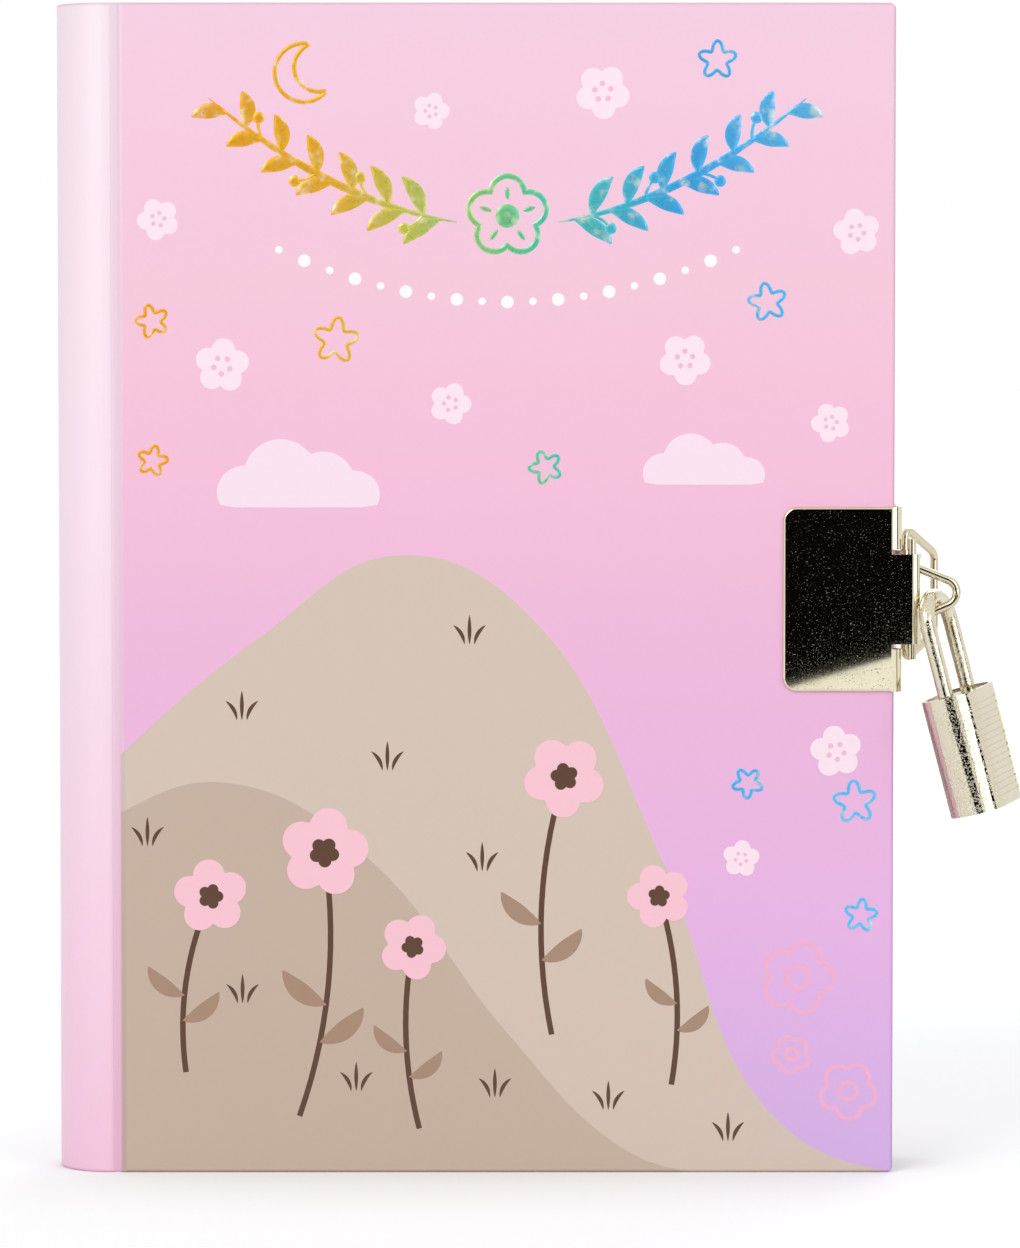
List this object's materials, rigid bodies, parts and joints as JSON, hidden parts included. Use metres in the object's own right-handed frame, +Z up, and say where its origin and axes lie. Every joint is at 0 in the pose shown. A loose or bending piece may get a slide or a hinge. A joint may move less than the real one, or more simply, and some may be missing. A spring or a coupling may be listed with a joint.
{
  "type": "diary with lock",
  "caption": "Hard-cover diary with a rounded spine, an opening front cover, turning leaves, nickel clasp plates with wire loops, and a small padlock hung on the front loop.",
  "frame": {"origin": "middle of the back cover's foot edge, on the surface that the diary stands on", "axes": "+Z up along the spine, +X from the spine to the fore edge, -Y out of the front cover"},
  "size_m": [0.1532, 0.0296, 0.185],
  "materials": {
    "cover_print": "matt laminated print",
    "greyboard": "bare board",
    "endpaper": "matt",
    "leaves": "uncoated",
    "binding_cloth": "open weave",
    "band_cloth": "woven",
    "nickel_plate": "mirror nickel",
    "nickel_wire": "bright nickel",
    "lock_nickel": "bright nickel",
    "lock_works": "turned"
  },
  "bodies": {
    "back_case": {"back_board": "greyboard", "back_cover_paper": "cover_print", "back_pastedown": "endpaper", "spine_liner": "greyboard", "spine_cover_paper": "cover_print", "spine_cloth": "binding_cloth", "head_band": "band_cloth", "tail_band": "band_cloth", "bound_edge": "leaves", "back_flyleaf": "endpaper", "back_clasp_plate": "nickel_plate", "section_1": "leaves", "section_2": "leaves", "section_3": "leaves", "section_4": "leaves", "section_5": "leaves"},
    "front_cover": {"front_board": "greyboard", "front_cover_paper": "cover_print", "front_pastedown": "endpaper", "front_clasp_plate": "nickel_plate"},
    "flyleaf": {"flyleaf": "endpaper"},
    "first_leaves": {"first_leaves": "leaves"},
    "front_loop": {"front_loop": "nickel_wire"},
    "back_loop": {"back_loop": "nickel_wire"},
    "shackle": {"padlock_shackle": "lock_nickel"},
    "padlock": {"padlock_case": "lock_nickel", "padlock_top_plate": "lock_nickel", "padlock_bottom_plate": "lock_nickel", "padlock_latch": "lock_works", "padlock_latch_spring": "lock_works"},
    "lock_plug": {"padlock_plug": "lock_works"}
  },
  "joints": [
    {"name": "cover_hinge", "type": "hinge", "parent": "back_case", "child": "front_cover", "pos_m": [-0.0625, -0.01635, 0.0925], "axis": [0, 0, -1], "range_deg": [0, 175]},
    {"name": "flyleaf_turn", "type": "hinge", "parent": "back_case", "child": "flyleaf", "pos_m": [-0.0625, -0.01635, 0.0925], "axis": [0, 0, -1], "range_deg": [0, 170]},
    {"name": "leaves_turn", "type": "hinge", "parent": "back_case", "child": "first_leaves", "pos_m": [-0.0625, -0.01635, 0.0925], "axis": [0, 0, -1], "range_deg": [0, 165]},
    {"name": "front_loop_swing", "type": "hinge", "parent": "front_cover", "child": "front_loop", "pos_m": [0.06395, -0.01552, 0.0911], "axis": [0, 0, 1], "range_deg": [0, 35]},
    {"name": "back_loop_swing", "type": "hinge", "parent": "back_case", "child": "back_loop", "pos_m": [0.06395, 0.00082, 0.0911], "axis": [0, 0, 1], "range_deg": [-20, 90]},
    {"name": "padlock_swing", "type": "hinge", "parent": "front_loop", "child": "shackle", "pos_m": [0.0678, -0.01552, 0.08927], "axis": [0.9173, 0, 0.3981], "range_deg": [-10, 12]},
    {"name": "case_drop", "type": "slide", "parent": "shackle", "child": "padlock", "axis": [0.2504, 0, -0.9681], "range_m": [0, 0.0045]},
    {"name": "plug_turn", "type": "hinge", "parent": "padlock", "child": "lock_plug", "pos_m": [0.07579, -0.01552, 0.05839], "axis": [-0.2504, 0, 0.9681], "range_deg": [0, 90]}
  ],
  "couplings": [
    {"joint": "flyleaf_turn", "follows": "cover_hinge", "ratio": 0.95},
    {"joint": "leaves_turn", "follows": "cover_hinge", "ratio": 0.9}
  ]
}
